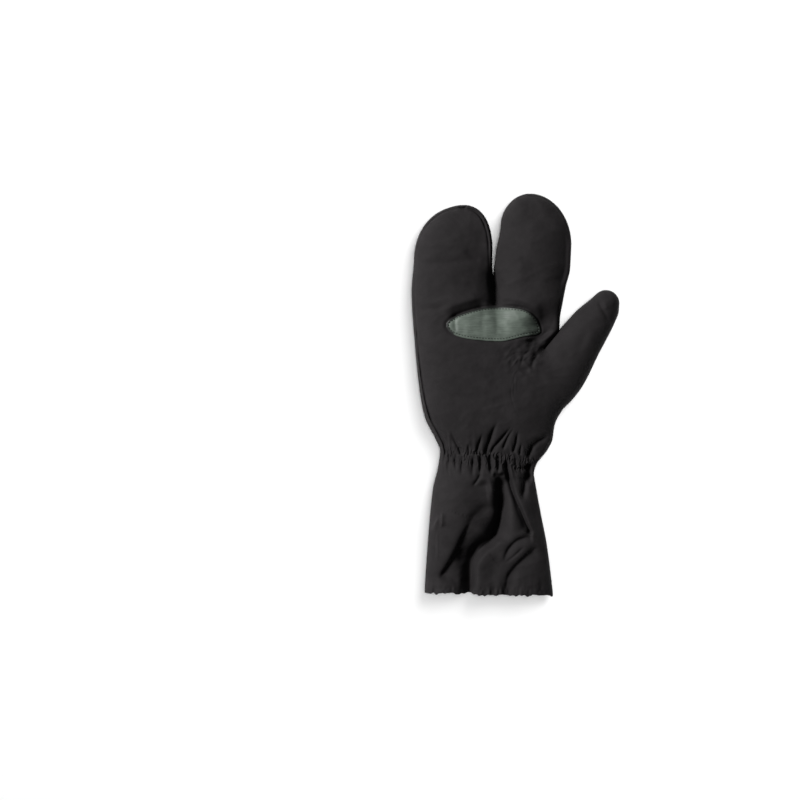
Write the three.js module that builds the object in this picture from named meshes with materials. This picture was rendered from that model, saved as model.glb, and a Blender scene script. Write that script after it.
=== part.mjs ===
// A right-hand three-finger rain overmitt, empty and lying on its back with the palm up.
// One lobe takes the index and middle fingers, the other the ring and little fingers, and the thumb is apart.
// Each panel of cloth is a wall of its own between the sewn edges, and the inside is open from the hem to
// every tip.
// X points to the thumb side, Y to the fingertips and Z up. Sizes are in millimetres.
import * as THREE from "three";

// Driving sizes
const WALL = 1.2; // shell cloth with its coating and seam tape
const HEM_WALL = 2.0; // cloth turned over the hem's elastic
const PATCH_WALL = 0.9; // grey-green grip patch
const PANEL_GAP = 0.4; // between panels that meet at a seam
const PATCH_GAP = 0.8; // between the patch and the palm under it
const SLIT = 1.2; // between the two finger lobes where they touch
const EDGE_ROUND = 34; // how far in from a sewn edge the upper cloth reaches its full height
const FLOOR_ROUND = 14; // the same for the lower cloth, which lies flat on the table
const EDGE_CALM = 9; // folds fade out this near to a sewn edge
const BEYOND_HEM = -215; // sewn edges are carried on past the hem, so that it stays open

// Fingertips and thumb tip
const OUTER_TIP = { x: -46.8, y: 170.2, leftReach: 43.7, leftRise: 51, rightReach: 25.9, rightRise: 40.6 };
const INDEX_TIP = { x: 12.9, y: 180.3, leftReach: 26.8, leftRise: 30.8, rightReach: 36.6, rightRise: 45.9 };
const THUMB_TIP = { x: 80.6, y: 83.2, radius: 12, innerFrom: 91.7 };

// Points where two sewn edges meet
const FINGER_CROTCH = { x: -17.8, y: 82.3 };
const THUMB_CROTCH = { x: 26.3, y: 42.1 };

// Thumb seam: a bow into the palm from the side of the hand up to the thumb crotch.
// Up to SEAM_FAN of its length the panels' rows run along it, and past that they end on it.
const SEAM_LOW = -32.8;
const SEAM_FAN = 0.36;
const THUMB_SEAM = [
  { x: 21.8, y: -29.4 },
  { x: 4, y: -20.5 },
  { x: -4, y: -5 },
  { x: -4.2, y: 9 },
  { x: 4.2, y: 27.2 },
  { x: 14, y: 34.4 },
  { x: 22.9, y: 36.9 },
];

// Sewn edges as rows from low to high
const LITTLE_SIDE = [
  { y: BEYOND_HEM, x: -82 },
  { y: -176, x: -81 },
  { y: -130, x: -78 },
  { y: -84, x: -73.6 },
  { y: -62, x: -68.5 },
  { y: -50, x: -67.2 },
  { y: -40, x: -71 },
  { y: -20, x: -80.7 },
  { y: 2, x: -85.2 },
  { y: 44, x: -89.6 },
  { y: 92, x: -92.6 },
  { y: 119.2, x: -90.5 },
];
const OUTER_LOBE_INNER = [
  { y: FINGER_CROTCH.y, x: FINGER_CROTCH.x },
  { y: 84.5, x: FINGER_CROTCH.x - SLIT / 2 },
  { y: 110, x: -20.6 },
  { y: 129.6, x: -20.9 },
];
const INDEX_LOBE_INNER = [
  { y: FINGER_CROTCH.y, x: FINGER_CROTCH.x },
  { y: 84.5, x: FINGER_CROTCH.x + SLIT / 2 },
  { y: 110, x: -19.4 },
  { y: 129.6, x: -17.2 },
  { y: 149.2, x: -13.9 },
];
const INDEX_LOBE_OUTER = [
  { y: THUMB_CROTCH.y, x: THUMB_CROTCH.x },
  { y: 50, x: 31.8 },
  { y: 58.2, x: 37.9 },
  { y: 68, x: 39 },
  { y: 81.4, x: 41.5 },
  { y: 97.5, x: 44.4 },
  { y: 112, x: 47.8 },
  { y: 134.1, x: 49.5 },
];
const THUMB_INNER = [
  { y: THUMB_CROTCH.y, x: THUMB_CROTCH.x },
  { y: 50, x: 33.4 },
  { y: 58.2, x: 40.2 },
  { y: 65.3, x: 45.4 },
  { y: 76, x: 55.2 },
  { y: 86.8, x: 66.6 },
  { y: 91.7, x: 72.1 },
];
const THUMB_SIDE = [
  { y: BEYOND_HEM, x: 37 },
  { y: -176, x: 33.4 },
  { y: -134, x: 28.1 },
  { y: -106, x: 22.7 },
  { y: -81, x: 18.2 },
  { y: -70, x: 16.6 },
  { y: -63, x: 18.3 },
  { y: -49, x: 28 },
  { y: -40, x: 32.4 },
  { y: -27, x: 34.3 },
  { y: -13, x: 41.5 },
  { y: -6, x: 48.6 },
  { y: 8, x: 59.3 },
  { y: 36.8, x: 73.6 },
  { y: 65.3, x: 87.9 },
  { y: 76, x: 91.6 },
  { y: 83.2, x: 92.6 },
];

// Height of the sewn edge above the table, and of the upper cloth above the sewn edge
const LOFT = [
  { y: BEYOND_HEM, seam: 9, crown: 14 },
  { y: -170, seam: 9, crown: 15 },
  { y: -115, seam: 10, crown: 17 },
  { y: -60, seam: 9, crown: 13 },
  { y: -15, seam: 10, crown: 18 },
  { y: 45, seam: 11, crown: 19 },
  { y: 120, seam: 11, crown: 17 },
  { y: 185, seam: 10, crown: 16 },
];

// How much higher up a row meets the little-finger side than the thumb side
const ROW_TILT = [
  { y: BEYOND_HEM, tilt: 2.5 },
  { y: -170, tilt: 3 },
  { y: -70, tilt: 11.6 },
  { y: -56, tilt: 11.6 },
  { y: 30, tilt: 0 },
  { y: 185, tilt: 0 },
];

// Stations on the thumb side where one panel ends and the next begins
const WRIST_TOP = -56;
const WRIST_LOW = -70.2;
const HEM_TOP = -169;
const HEM_LOW = -178.6;

// Gathers drawn up by the wrist elastic: fine crimps in the band and broader folds that fan out from it
const GATHERS = [
  { waves: 13, lean: 0, depth: 1.1, reach: 11 },
  { waves: 7, lean: 0.35, depth: 1.1, reach: 27 },
];
const HEM_CRIMP = { waves: 11, lift: 0.7, drop: 1.3, reach: 14 };

// Main folds of the upper cloth: a line with a sideways bow, negative depths being valleys.
// Their ends fade out by a half sine to the power of FOLD_FADE.
const FOLD_FADE = 0.8;
const FOLDS = [
  { x: -21, y: -70, toX: -20, toY: -125, bow: 4, depth: -6.5, width: 6 },
  { x: -33, y: -72, toX: -38, toY: -112, bow: 2, depth: 1.5, width: 8 },
  { x: -37, y: -106, toX: -69, toY: -165, bow: -2, depth: -5, width: 5 },
  { x: -36, y: -126, toX: -46, toY: -178, bow: -3, depth: -6, width: 6.5 },
  { x: -56, y: -142, toX: -58, toY: -178, bow: 0, depth: 2, width: 6 },
  { x: -6, y: -72, toX: -6, toY: -150, bow: 3, depth: 2.5, width: 9 },
  { x: -4, y: -66, toX: 27, toY: -168, bow: -3, depth: -3.5, width: 3.6 },
  { x: 15, y: -124, toX: -12, toY: -146, bow: 4, depth: -3, width: 3.6 },
  { x: 20, y: -136, toX: -11, toY: -174, bow: 3, depth: -3.5, width: 4 },
  { x: 2, y: 36, toX: 12, toY: 12, bow: 3, depth: -1.5, width: 4 },
  { x: -36, y: 68, toX: -14, toY: 72, bow: 2, depth: -1, width: 3 },
];

// Grip patch across the roots of the fingers, a lens that droops towards the thumb, by its edges at stations
const PATCH_EDGES = [
  { x: -60.9, far: 64.6, near: 59.4 },
  { x: -58.7, far: 67.2, near: 55.9 },
  { x: -52.6, far: 70.3, near: 52 },
  { x: -43.5, far: 73.6, near: 49.6 },
  { x: -32.8, far: 76.6, near: 48.3 },
  { x: -22, far: 78.3, near: 47.6 },
  { x: -14, far: 78.4, near: 47.5 },
  { x: -5, far: 78, near: 49 },
  { x: 5, far: 76.4, near: 51.6 },
  { x: 12, far: 73.1, near: 52.8 },
  { x: 18, far: 67.6, near: 53.7 },
  { x: 21.9, far: 59.8, near: 55.8 },
];

// A smooth curve through a table's rows that never swings past them: returns the column's value at a place.
function through(rows, column, place = "y") {
  const slope = rows.slice(1).map((row, i) => (row[column] - rows[i][column]) / (row[place] - rows[i][place]));
  const lean = rows.map((row, i) => {
    if (i === 0 || i === rows.length - 1) return slope[Math.min(i, slope.length - 1)];
    return slope[i - 1] * slope[i] <= 0 ? 0 : (2 * slope[i - 1] * slope[i]) / (slope[i - 1] + slope[i]);
  });
  return (at) => {
    const next = rows.findIndex((row, i) => i > 0 && at <= row[place]);
    const i = next < 0 ? rows.length - 2 : next - 1;
    const span = rows[i + 1][place] - rows[i][place];
    const t = THREE.MathUtils.clamp((at - rows[i][place]) / span, 0, 1);
    const rise = t * t * (3 - 2 * t);
    return (
      rows[i][column] * (1 - rise) +
      rows[i + 1][column] * rise +
      span * t * (1 - t) * (lean[i] * (1 - t) - lean[i + 1] * t)
    );
  };
}

// An edge that follows a table up to the start of a rounded tip and then a quarter of an ellipse.
function withTip(rows, tip, reach, rise) {
  const below = through(rows, "x");
  return (y) => {
    if (y <= tip.y - rise) return below(y);
    const t = Math.min((y - tip.y + rise) / rise, 1);
    return tip.x + reach * Math.sqrt(1 - t * t);
  };
}

const littleSide = withTip(LITTLE_SIDE, OUTER_TIP, -OUTER_TIP.leftReach, OUTER_TIP.leftRise);
const outerLobeInner = withTip(OUTER_LOBE_INNER, OUTER_TIP, OUTER_TIP.rightReach, OUTER_TIP.rightRise);
const indexLobeInner = withTip(INDEX_LOBE_INNER, INDEX_TIP, -INDEX_TIP.leftReach, INDEX_TIP.leftRise);
const indexLobeOuter = withTip(INDEX_LOBE_OUTER, INDEX_TIP, INDEX_TIP.rightReach, INDEX_TIP.rightRise);

const thumbTipTop = THUMB_TIP.y + THUMB_TIP.radius;
const thumbTipHalf = (y) => Math.sqrt(Math.max(THUMB_TIP.radius ** 2 - (y - THUMB_TIP.y) ** 2, 0));
const thumbInnerBelow = through(THUMB_INNER, "x");
const thumbInner = (y) => (y <= THUMB_TIP.innerFrom ? thumbInnerBelow(y) : THUMB_TIP.x - thumbTipHalf(y));
const thumbSideBelow = through(THUMB_SIDE, "x");
const thumbSide = (y) => (y <= THUMB_TIP.y ? thumbSideBelow(y) : THUMB_TIP.x + thumbTipHalf(y));

const seamPoints = [{ x: thumbSide(SEAM_LOW), y: SEAM_LOW }, ...THUMB_SEAM, THUMB_CROTCH];
const thumbSeam = new THREE.SplineCurve(seamPoints.map(({ x, y }) => new THREE.Vector2(x, y)));
// A point on the thumb seam, from 0 at its low end to 1 at the thumb crotch, moved aside into the palm.
function thumbSeamAt(along, aside) {
  const { x, y } = thumbSeam.getPointAt(along);
  const tangent = thumbSeam.getTangentAt(along);
  return { x: x - tangent.y * aside, y: y + tangent.x * aside };
}

const seamHeight = through(LOFT, "seam");
const crownHeight = through(LOFT, "crown");
const tiltAt = through(ROW_TILT, "tilt");

// The six sewn edges as fine polylines, close together near their tips.
const EDGE_STEPS = 70;
function edgeLine(edge, low, high) {
  return Array.from({ length: EDGE_STEPS + 1 }, (_, i) => {
    const y = low + (high - low) * Math.sin(((i / EDGE_STEPS) * Math.PI) / 2);
    return { x: edge(y), y };
  });
}
const SEWN_EDGES = [
  edgeLine(littleSide, BEYOND_HEM, OUTER_TIP.y),
  edgeLine(outerLobeInner, FINGER_CROTCH.y, OUTER_TIP.y),
  edgeLine(indexLobeInner, FINGER_CROTCH.y, INDEX_TIP.y),
  edgeLine(indexLobeOuter, THUMB_CROTCH.y, INDEX_TIP.y),
  edgeLine(thumbInner, THUMB_CROTCH.y, thumbTipTop),
  edgeLine(thumbSide, BEYOND_HEM, thumbTipTop),
];

function distanceToLine(line, x, y) {
  let nearest = Infinity;
  for (let i = 1; i < line.length; i++) {
    const [a, b] = [line[i - 1], line[i]];
    const [dx, dy] = [b.x - a.x, b.y - a.y];
    const along = THREE.MathUtils.clamp(((x - a.x) * dx + (y - a.y) * dy) / (dx * dx + dy * dy), 0, 1);
    nearest = Math.min(nearest, Math.hypot(x - a.x - along * dx, y - a.y - along * dy));
  }
  return nearest;
}

// Distance in from the sewn edges, eased together so that no ridge forms midway between two of them.
const ON_EDGE = 1e-3;
function depthInside(x, y) {
  const distances = SEWN_EDGES.map((line) => Math.max(distanceToLine(line, x, y), ON_EDGE));
  return 1 / Math.sqrt(distances.reduce((sum, distance) => sum + distance ** -2, 0));
}
const nearestEdge = (x, y) => Math.min(...SEWN_EDGES.map((line) => distanceToLine(line, x, y)));

// From 0 at a sewn edge, where the cloth stands upright, to 1 at the full rounding distance.
function rounded(inside, reach) {
  const left = 1 - Math.min(inside / reach, 1);
  return Math.sqrt(1 - left * left);
}

// How far along a panel's row a point lies, and how far it is above the middle of the wrist band.
function acrossWrist(x, y) {
  const middle = (WRIST_TOP + WRIST_LOW) / 2;
  const [left, right] = [littleSide(middle + tiltAt(middle)), thumbSide(middle)];
  const across = (x - left) / (right - left);
  return { across, above: y - middle - tiltAt(middle) * (1 - across) };
}

function gatherHeight(x, y) {
  const { across, above } = acrossWrist(x, y);
  return GATHERS.reduce((height, { waves, lean, depth, reach }) => {
    const wave = Math.cos(2 * Math.PI * (waves * across + (lean * above) / reach));
    return height + depth * wave * Math.exp(-((above / reach) ** 2));
  }, 0);
}

function foldHeight(x, y) {
  return FOLDS.reduce((height, fold) => {
    const [dx, dy] = [fold.toX - fold.x, fold.toY - fold.y];
    const length = Math.hypot(dx, dy);
    const along = ((x - fold.x) * dx + (y - fold.y) * dy) / length ** 2;
    if (along <= 0 || along >= 1) return height;
    const bow = 4 * fold.bow * along * (1 - along);
    const aside = ((y - fold.y) * dx - (x - fold.x) * dy) / length - bow;
    const strength = Math.sin(Math.PI * along) ** FOLD_FADE;
    return height + fold.depth * strength * Math.exp(-((aside / fold.width) ** 2));
  }, 0);
}

function hemCrimp(x, y) {
  const { across } = acrossWrist(x, y);
  const nearHem = THREE.MathUtils.smoothstep(HEM_TOP + HEM_CRIMP.reach - y, 0, HEM_CRIMP.reach);
  return nearHem * HEM_CRIMP.lift * Math.cos(2 * Math.PI * HEM_CRIMP.waves * across);
}

// Outer face of the upper cloth, on the palm side.
function upperCloth(x, y) {
  const inside = depthInside(x, y);
  const loose = gatherHeight(x, y) + foldHeight(x, y) + hemCrimp(x, y);
  const calm = Math.min(inside / EDGE_CALM, 1);
  return seamHeight(y) + crownHeight(y) * rounded(inside, EDGE_ROUND) + loose * calm;
}

// Outer face of the lower cloth, on the back of the hand, pressed flat where it lies on the table.
function lowerCloth(x, y) {
  const inside = depthInside(x, y);
  const calm = Math.min(inside / EDGE_CALM, 1);
  const crimp = Math.max(gatherHeight(x, y), 0) * calm;
  return seamHeight(y) * (1 - rounded(inside, FLOOR_ROUND)) + crimp;
}

// Fractions across a row: evenly spaced, or closer together near both ends.
const even = (count) => Array.from({ length: count + 1 }, (_, i) => i / count);
const crowded = (count) => even(count).map((f) => (f + (1 - Math.cos(f * Math.PI)) / 2) / 2);

// A row of points from one edge to the other, with its left end lifted by the row's tilt.
function tiltedRow(left, right, y, fractions) {
  const high = y + tiltAt(y);
  const [from, to] = [{ x: left(high), y: high }, typeof right === "function" ? { x: right(y), y } : right];
  return fractions.map((f) => ({ x: from.x + (to.x - from.x) * f, y: from.y + (to.y - from.y) * f }));
}
const levelRow = (left, right, y, fractions) =>
  fractions.map((f) => ({ x: left(y) * (1 - f) + right(y) * f, y }));

const between = (a, b, f) => ({ x: a.x + (b.x - a.x) * f, y: a.y + (b.y - a.y) * f });
const range = (from, to, steps) => even(steps).map((f) => from + (to - from) * f);
const TIP_DEGREES = 80;
const tipStations = (top, rise, steps) =>
  range(0, THREE.MathUtils.degToRad(TIP_DEGREES), steps).map((angle) => top - rise + rise * Math.sin(angle));

// Rows between a low and a high one, whose two ends lie on sewn edges.
function rowsBetween(low, high, left, right, steps) {
  return even(steps).map((up) => {
    const row = low.map((point, i) => between(point, high[i], up));
    row[0].x = left(row[0].y);
    row.at(-1).x = right(row.at(-1).y);
    return row;
  });
}

// Rows of cloth from one station to the next
const HAND_ROWS = { heel: 4, palm: 9, knuckles: 5, lobe: 5, tip: 6 };
const THUMB_ROWS = { base: 9, free: 5, tip: 4 };

// The hand's panel: the heel below the thumb seam, the palm beside it, and the two finger lobes.
// The low part of the thumb seam takes the last columns of the heel, past HEEL_SHARE of its width.
const HEEL_SHARE = 0.7;
function handPanel(lobeColumns, thumbColumns) {
  const [left, right] = [littleSide(FINGER_CROTCH.y), indexLobeOuter(FINGER_CROTCH.y)];
  const split = (FINGER_CROTCH.x - left) / (right - left);
  const fractions = [
    ...crowded(lobeColumns).map((f) => f * split),
    ...crowded(lobeColumns)
      .slice(1)
      .map((f) => split + (1 - split) * f),
  ];
  const seamEnd = (along) => thumbSeamAt(along, PANEL_GAP / 2);
  const seamRow = (along) => {
    const end = seamEnd(along);
    if (along === 1) end.x = indexLobeOuter(end.y);
    return tiltedRow(littleSide, end, end.y, fractions);
  };
  const heelTop = [
    ...seamRow(SEAM_FAN),
    ...crowded(thumbColumns).slice(1).map((f) => seamEnd(SEAM_FAN * (1 - f))),
  ];
  const heelFractions = [
    ...fractions.map((f) => f * HEEL_SHARE),
    ...range(HEEL_SHARE, 1, thumbColumns).slice(1),
  ];
  const heelLow = tiltedRow(littleSide, thumbSide, WRIST_TOP + PANEL_GAP / 2, heelFractions);
  const palm = [
    ...range(SEAM_FAN, 1, HAND_ROWS.palm).map(seamRow),
    ...range(seamEnd(1).y, FINGER_CROTCH.y, HAND_ROWS.knuckles)
      .slice(1)
      .map((y) => tiltedRow(littleSide, indexLobeOuter, y, fractions)),
  ];
  const lobe = (left, right, tip, rise) =>
    [
      ...range(FINGER_CROTCH.y, tip.y - rise, HAND_ROWS.lobe).slice(0, -1),
      ...tipStations(tip.y, rise, HAND_ROWS.tip),
    ].map((y) => levelRow(left, right, y, crowded(lobeColumns)));
  return [
    rowsBetween(heelLow, heelTop, littleSide, thumbSide, HAND_ROWS.heel),
    palm,
    lobe(littleSide, outerLobeInner, OUTER_TIP, OUTER_TIP.leftRise),
    lobe(indexLobeInner, indexLobeOuter, INDEX_TIP, INDEX_TIP.rightRise),
  ];
}

// The thumb's panel: its first row follows the low part of the seam, and its rows fan out from there.
function thumbGrid(columns) {
  const fractions = crowded(columns);
  const seamEnd = (along) => thumbSeamAt(along, -PANEL_GAP / 2);
  const sideEnd = (y) => ({ x: thumbSide(y), y });
  const lowSide = sideEnd(seamEnd(0).y);
  const lowRow = fractions.map((f) => (f === 1 ? lowSide : seamEnd(SEAM_FAN * (1 - f))));
  const base = even(THUMB_ROWS.base).map((up) => {
    const from = seamEnd(THREE.MathUtils.lerp(SEAM_FAN, 1, up));
    const to = sideEnd(THREE.MathUtils.lerp(lowSide.y, seamEnd(1).y, up));
    const bent = (1 - up) ** 2;
    return fractions.map((f, i) => {
      const [level, lowLevel] = [between(from, to, f), between(lowRow[0], lowSide, f)];
      const [dx, dy] = [lowRow[i].x - lowLevel.x, lowRow[i].y - lowLevel.y];
      return { x: level.x + bent * dx, y: level.y + bent * dy };
    });
  });
  const free = [
    ...range(seamEnd(1).y, THUMB_TIP.y, THUMB_ROWS.free).slice(1),
    ...tipStations(thumbTipTop, THUMB_TIP.radius, THUMB_ROWS.tip).slice(1),
  ];
  return [[...base, ...free.map((y) => levelRow(thumbInner, thumbSide, y, fractions))]];
}

const bandGrid = (from, to, rows, fractions) => [
  range(from, to, rows).map((y) => tiltedRow(littleSide, thumbSide, y, fractions)),
];

// The hem's low edge waves down and up with its crimps.
function crimpedGrid(rows, columns) {
  const grid = bandGrid(HEM_LOW, HEM_TOP - PANEL_GAP / 2, rows, even(columns))[0];
  grid[0] = grid[0].map(({ x, y }, i) => ({
    x,
    y: y - HEM_CRIMP.drop * Math.cos((2 * Math.PI * HEM_CRIMP.waves * i) / columns),
  }));
  return [grid];
}

// Joins grids of points into one sheet: points shared by two grids are one point.
// Each corner's quad is split so that no triangle has all its points on the border.
function joinGrids(grids) {
  const points = [];
  const known = new Map();
  const indexOf = (point) => {
    const key = point.x.toFixed(3) + "," + point.y.toFixed(3);
    if (!known.has(key)) known.set(key, points.push(point) - 1);
    return known.get(key);
  };
  const faces = [];
  for (const grid of grids)
    for (let row = 1; row < grid.length; row++)
      for (let column = 1; column < grid[row].length; column++) {
        const [a, b] = [indexOf(grid[row - 1][column - 1]), indexOf(grid[row - 1][column])];
        const [c, d] = [indexOf(grid[row][column]), indexOf(grid[row][column - 1])];
        const topLeft = row === grid.length - 1 && column === 1;
        const lowRight = row === 1 && column === grid[row].length - 1;
        faces.push(...(topLeft || lowRight ? [[a, b, d], [b, c, d]] : [[a, b, c], [a, c, d]]));
      }
  return { points, faces: faces.filter(([a, b, c]) => a !== b && b !== c && c !== a) };
}

// The sheet's border, as directed edges with their outward direction and whether cloth is sewn there.
const SEWN_WITHIN = 0.9;
function borderEdges({ points, faces }) {
  const directed = new Set(faces.flatMap(([a, b, c]) => [a + "," + b, b + "," + c, c + "," + a]));
  const edges = [...directed].map((key) => key.split(",").map(Number));
  const open = edges.filter(([a, b]) => !directed.has(b + "," + a));
  return open.map(([from, to]) => {
    const [a, b] = [points[from], points[to]];
    const along = new THREE.Vector2(b.x - a.x, b.y - a.y).normalize();
    const outward = new THREE.Vector3(along.y, -along.x, 0);
    const sewn = [a, b].every(({ x, y }) => nearestEdge(x, y) < SEWN_WITHIN);
    return { from, to, along, outward, sewn };
  });
}

const PROBE = 0.6;
function clothNormal(cloth, { x, y }) {
  const slopeX = (cloth(x + PROBE, y) - cloth(x - PROBE, y)) / (2 * PROBE);
  const slopeY = (cloth(x, y + PROBE) - cloth(x, y - PROBE)) / (2 * PROBE);
  return new THREE.Vector3(-slopeX, -slopeY, 1).normalize();
}

// The direction in which a border point's wall is thick: level at a sewn edge, within the cut at a cut one,
// and along the cut where the two meet. Two edges that nearly double back have a sum under DOUBLED_BACK.
const DOUBLED_BACK = 0.3;
function borderNormal(arriving, leaving, normal) {
  if (arriving.sewn && leaving.sewn) {
    const both = arriving.outward.clone().add(leaving.outward);
    if (both.length() > DOUBLED_BACK) return both.normalize();
    const back = leaving.along.clone().sub(arriving.along).normalize();
    return new THREE.Vector3(back.x, back.y, 0);
  }
  if (arriving.sewn) return new THREE.Vector3(-leaving.along.x, -leaving.along.y, 0);
  if (leaving.sewn) return new THREE.Vector3(arriving.along.x, arriving.along.y, 0);
  const outward = arriving.outward.clone().add(leaving.outward).normalize();
  return normal.addScaledVector(outward, -normal.dot(outward)).normalize();
}

// A wall of cloth between its outer face and an inner face, closed by a rim all round.
function clothWall(grids, side, wall) {
  const sheet = joinGrids(grids);
  const cloth = side > 0 ? upperCloth : lowerCloth;
  const border = borderEdges(sheet);
  const [arriving, leaving] = [new Map(), new Map()];
  for (const edge of border) {
    arriving.set(edge.to, edge);
    leaving.set(edge.from, edge);
  }
  const outer = [];
  const inner = [];
  sheet.points.forEach((point, i) => {
    const onBorder = arriving.has(i);
    const sewn = onBorder && (arriving.get(i).sewn || leaving.get(i).sewn);
    const z = sewn ? seamHeight(point.y) + (side * PANEL_GAP) / 2 : cloth(point.x, point.y);
    let normal = clothNormal(cloth, point);
    if (side < 0) normal.negate();
    if (onBorder) normal = borderNormal(arriving.get(i), leaving.get(i), normal);
    outer.push(new THREE.Vector3(point.x, point.y, z));
    inner.push(new THREE.Vector3(point.x, point.y, z).addScaledVector(normal, -wall));
  });
  return closedShell(sheet, outer, inner, side);
}

// Closes two faces of the same sheet with a rim along its border.
function closedShell(sheet, outer, inner, side) {
  const count = outer.length;
  const triangles = [
    ...sheet.faces,
    ...sheet.faces.map(([a, b, c]) => [a + count, c + count, b + count]),
    ...borderEdges(sheet).flatMap(({ from, to }) => [
      [to, from, from + count],
      [to, from + count, to + count],
    ]),
  ];
  const geometry = new THREE.BufferGeometry().setFromPoints([...outer, ...inner]);
  geometry.setIndex((side > 0 ? triangles : triangles.map(([a, b, c]) => [a, c, b])).flat());
  geometry.computeVertexNormals();
  return geometry;
}

// The patch lies on the palm, from its upper face to its under face, closed by a rim round its outline.
function patchGeometry(lengthSteps, widthSteps) {
  const outer = [];
  const under = [];
  const [farEdge, nearEdge] = ["far", "near"].map((edge) => through(PATCH_EDGES, edge, "x"));
  const [from, to] = [PATCH_EDGES[0].x, PATCH_EDGES.at(-1).x];
  const stations = crowded(lengthSteps).map((f) => from + (to - from) * f);
  const row = (up) => stations.map((x) => ({ x, y: nearEdge(x) + (farEdge(x) - nearEdge(x)) * up }));
  const sheet = joinGrids([even(widthSteps).map(row)]);
  for (const { x, y } of sheet.points) {
    const z = upperCloth(x, y) + PATCH_GAP;
    outer.push(new THREE.Vector3(x, y, z + PATCH_WALL));
    under.push(new THREE.Vector3(x, y, z));
  }
  return closedShell(sheet, outer, under, 1);
}

// Columns of cloth across each piece and rows along it.
// The hand and the thumb share the thumb's columns along the low part of their seam.
const COLUMNS = {
  lobes: { front: 10, back: 7 },
  thumb: { front: 8, back: 6 },
  band: { front: 52, back: 26 },
  cuff: { front: 28, back: 16 },
  hem: { front: 44, back: 44 },
};
const ROWS = { band: { front: 3, back: 2 }, cuff: { front: 16, back: 9 }, hem: { front: 2, back: 2 } };
const PATCH_STEPS = { length: 18, width: 8 };

const shellCloth = { color: 0x2b292a, roughness: 0.62, metalness: 0 };
const patchCloth = { color: 0x5d6862, roughness: 0.5, metalness: 0 };

const overmitt = new THREE.Group();
function addPiece(name, geometry, finish) {
  const mesh = new THREE.Mesh(geometry, new THREE.MeshStandardMaterial(finish));
  mesh.name = name;
  overmitt.add(mesh);
}

const handGrids = (face) => handPanel(COLUMNS.lobes[face], COLUMNS.thumb[face]);
const wristGrid = (face) =>
  bandGrid(WRIST_LOW + PANEL_GAP / 2, WRIST_TOP - PANEL_GAP / 2, ROWS.band[face], even(COLUMNS.band[face]));
const cuffGrid = (face) =>
  bandGrid(HEM_TOP + PANEL_GAP / 2, WRIST_LOW - PANEL_GAP / 2, ROWS.cuff[face], even(COLUMNS.cuff[face]));
const hemGrid = (face) => crimpedGrid(ROWS.hem[face], COLUMNS.hem[face]);

addPiece("palm_panel", clothWall(handGrids("front"), 1, WALL), shellCloth);
addPiece("back_panel", clothWall(handGrids("back"), -1, WALL), shellCloth);
addPiece("thumb_front", clothWall(thumbGrid(COLUMNS.thumb.front), 1, WALL), shellCloth);
addPiece("thumb_back", clothWall(thumbGrid(COLUMNS.thumb.back), -1, WALL), shellCloth);
addPiece("grip_patch", patchGeometry(PATCH_STEPS.length, PATCH_STEPS.width), patchCloth);
addPiece("wrist_band_front", clothWall(wristGrid("front"), 1, WALL), shellCloth);
addPiece("wrist_band_back", clothWall(wristGrid("back"), -1, WALL), shellCloth);
addPiece("cuff_front", clothWall(cuffGrid("front"), 1, WALL), shellCloth);
addPiece("cuff_back", clothWall(cuffGrid("back"), -1, WALL), shellCloth);
addPiece("hem_front", clothWall(hemGrid("front"), 1, HEM_WALL), shellCloth);
addPiece("hem_back", clothWall(hemGrid("back"), -1, HEM_WALL), shellCloth);

export default overmitt;
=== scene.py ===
import math

import bpy
import numpy as np
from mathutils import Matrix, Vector


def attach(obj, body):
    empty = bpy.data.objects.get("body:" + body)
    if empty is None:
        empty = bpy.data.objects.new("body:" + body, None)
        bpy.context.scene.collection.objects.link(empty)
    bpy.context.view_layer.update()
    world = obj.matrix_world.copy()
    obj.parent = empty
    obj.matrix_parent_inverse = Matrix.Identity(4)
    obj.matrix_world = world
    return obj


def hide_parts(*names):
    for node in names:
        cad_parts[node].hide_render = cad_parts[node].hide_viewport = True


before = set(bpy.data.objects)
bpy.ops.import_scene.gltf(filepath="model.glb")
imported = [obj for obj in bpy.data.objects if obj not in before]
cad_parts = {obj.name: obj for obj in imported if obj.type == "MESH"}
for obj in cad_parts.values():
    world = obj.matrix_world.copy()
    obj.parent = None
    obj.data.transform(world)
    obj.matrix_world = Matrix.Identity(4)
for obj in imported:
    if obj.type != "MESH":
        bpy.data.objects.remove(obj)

# A right-hand rain overmitt of thin black shell cloth, empty and lying palm up on a pale floor.
# Shapes are worked out in millimetres, in the CAD frame, and turned into metres when a mesh is made.
MM = 0.001
scene = bpy.context.scene
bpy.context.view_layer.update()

# Driving sizes, as in the CAD model
WALL = 0.7
HEM_WALL = 1.3
PATCH_WALL = 0.6
EDGE_ROUND = 34
FLOOR_ROUND = 14
BEYOND_HEM = -215
WRIST_TOP = -56
WRIST_LOW = -70.2
HEM_TOP = -169
HEM_LOW = -178.6
SEAM_LOW = -32.8
SEAM_FAN = 0.36
HEEL_SHARE = 0.7
SLIT = 0.1
TIP_DEGREES = 88.5
FINGER_CROTCH = (-17.8, 82.3)
THUMB_CROTCH = (26.3, 42.1)
THUMB_TIP = (80.6, 81.5)
THUMB_TIP_RADIUS = 12
THUMB_TIP_FROM = 90
FINE = 1


def table(names, *rows):
    """A short table with named columns."""
    return dict(zip(names.split(), np.array(rows, float).T))


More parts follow.
